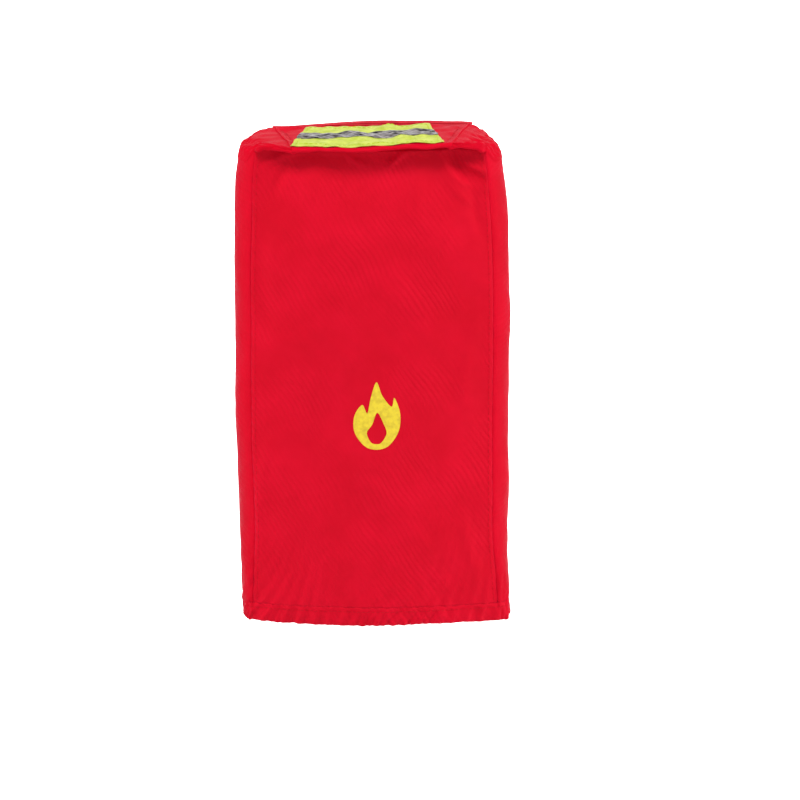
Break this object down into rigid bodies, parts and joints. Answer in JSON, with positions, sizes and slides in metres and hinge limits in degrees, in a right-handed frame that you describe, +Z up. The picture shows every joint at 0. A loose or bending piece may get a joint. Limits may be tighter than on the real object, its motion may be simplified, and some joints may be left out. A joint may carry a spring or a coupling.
{
  "type": "fire blanket in a soft wall pouch",
  "caption": "Red soft wall pouch with a lid flap and hi-vis tape, holding a folded glass-fibre fire blanket that is pulled out of the gathered mouth below.",
  "frame": {"origin": "middle of the flat back, on its rear face, halfway up the pouch", "axes": "+Y into the wall behind the pouch, +Z up, +X to the right of someone facing the front"},
  "size_m": [0.17, 0.0595, 0.31],
  "materials": {
    "pouch_cloth": "plain-woven coated polyester with a slight sheen",
    "trim_cloth": "woven polyester trim, slightly darker than the walls",
    "lime_tape": "fluorescent lime woven tape",
    "silver_tape": "retroreflective silver film",
    "hook_and_loop": "black nylon hook and loop strip",
    "elastic": "woven elastic band",
    "glass_cloth": "woven glass-fibre cloth, off-white",
    "patch_cloth": "doubled glass-fibre cloth with box stitching",
    "pull_webbing": "black ribbed webbing",
    "brass": "pressed brass with a satin wear"
  },
  "bodies": {
    "pouch": {"front_panel": "pouch_cloth", "left_gusset": "pouch_cloth", "right_gusset": "pouch_cloth", "back_panel": "pouch_cloth", "left_seam_tape": "trim_cloth", "right_seam_tape": "trim_cloth", "mouth_hem": "pouch_cloth", "mouth_elastic": "elastic", "back_yoke": "trim_cloth", "left_eyelet": "brass", "right_eyelet": "brass", "yoke_binding": "trim_cloth", "front_tuck": "pouch_cloth", "loop_strip": "hook_and_loop"},
    "lid": {"top_flap": "pouch_cloth", "hi_vis_tape": "lime_tape", "reflective_stripe": "silver_tape", "hook_strip": "hook_and_loop"},
    "left_tuck": {"left_corner_tuck": "pouch_cloth"},
    "right_tuck": {"right_corner_tuck": "pouch_cloth"},
    "blanket": {"folded_blanket": "glass_cloth", "left_tape_patch": "patch_cloth", "right_tape_patch": "patch_cloth"},
    "left_pull": {"left_pull_tape": "pull_webbing"},
    "right_pull": {"right_pull_tape": "pull_webbing"}
  },
  "joints": [
    {"name": "blanket_slide", "type": "slide", "parent": "pouch", "child": "blanket", "axis": [0, 0, -1], "range_m": [0, 0.28]},
    {"name": "left_pull_hinge", "type": "hinge", "parent": "blanket", "child": "left_pull", "pos_m": [-0.04, -0.0256, -0.1198], "axis": [1, 0, 0], "range_deg": [-40, 40]},
    {"name": "right_pull_hinge", "type": "hinge", "parent": "blanket", "child": "right_pull", "pos_m": [0.04, -0.0256, -0.1198], "axis": [1, 0, 0], "range_deg": [-40, 40]},
    {"name": "lid_hinge", "type": "hinge", "parent": "pouch", "child": "lid", "pos_m": [0, -0.0066, 0.152], "axis": [-1, 0, 0], "range_deg": [0, 90]},
    {"name": "left_tuck_hinge", "type": "hinge", "parent": "pouch", "child": "left_tuck", "pos_m": [-0.08351, 0, 0.1385], "axis": [0, -1, 0], "range_deg": [0, 75]},
    {"name": "right_tuck_hinge", "type": "hinge", "parent": "pouch", "child": "right_tuck", "pos_m": [0.08351, 0, 0.1385], "axis": [0, 1, 0], "range_deg": [0, 75]}
  ],
  "couplings": [
    {"joint": "left_tuck_hinge", "follows": "lid_hinge", "ratio": 0.8333},
    {"joint": "right_tuck_hinge", "follows": "lid_hinge", "ratio": 0.8333}
  ]
}
